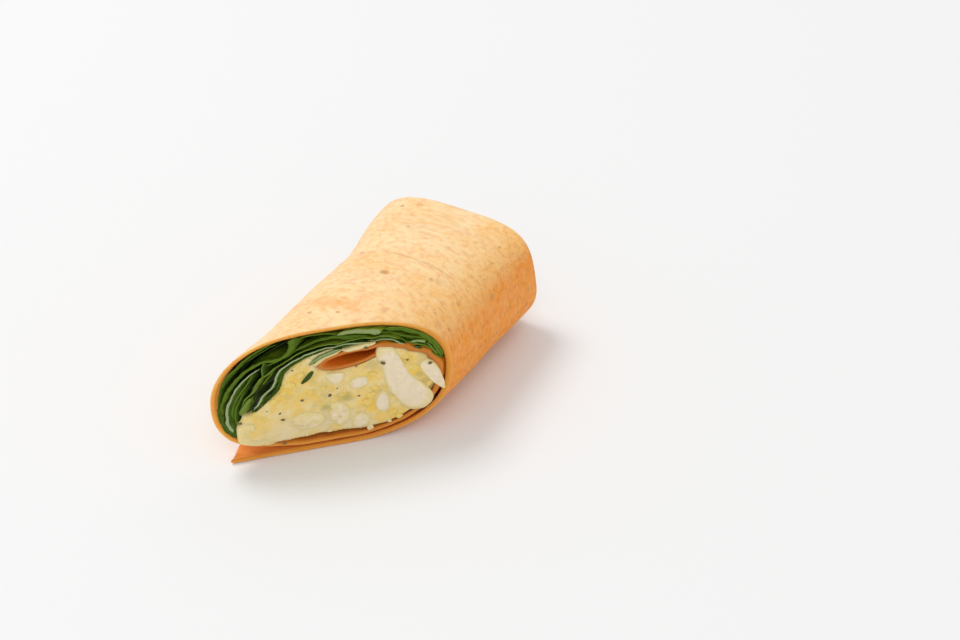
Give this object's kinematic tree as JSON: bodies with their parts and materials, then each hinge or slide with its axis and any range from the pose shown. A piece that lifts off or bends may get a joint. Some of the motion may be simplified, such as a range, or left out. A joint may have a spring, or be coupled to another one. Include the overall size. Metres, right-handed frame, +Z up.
{
  "type": "egg salad wrap half",
  "caption": "Half of a wheat tortilla wrap, cut on a slant, filled with egg salad and spinach leaves, with its far end tucked in.",
  "frame": {"origin": "centre of the footprint's box, on the surface that the wrap rests on", "axes": "+Y along the roll from the slanted cut to the tucked end, +Z up, +X to the side where the cut runs furthest back"},
  "size_m": [0.0658, 0.1284, 0.0493],
  "materials": {
    "tortilla": "toasted wheat tortilla, matt and lightly mottled",
    "egg_salad": "moist egg salad, cream with pale egg white and yellow yolk",
    "spinach": "raw spinach leaf, satin"
  },
  "bodies": {
    "root": {"tortilla": "tortilla", "egg_salad": "egg_salad", "spinach_leaf_1": "spinach", "spinach_leaf_2": "spinach", "spinach_leaf_3": "spinach", "spinach_leaf_4": "spinach", "spinach_leaf_5": "spinach", "spinach_leaf_6": "spinach", "spinach_leaf_7": "spinach"}
  },
  "joints": []
}
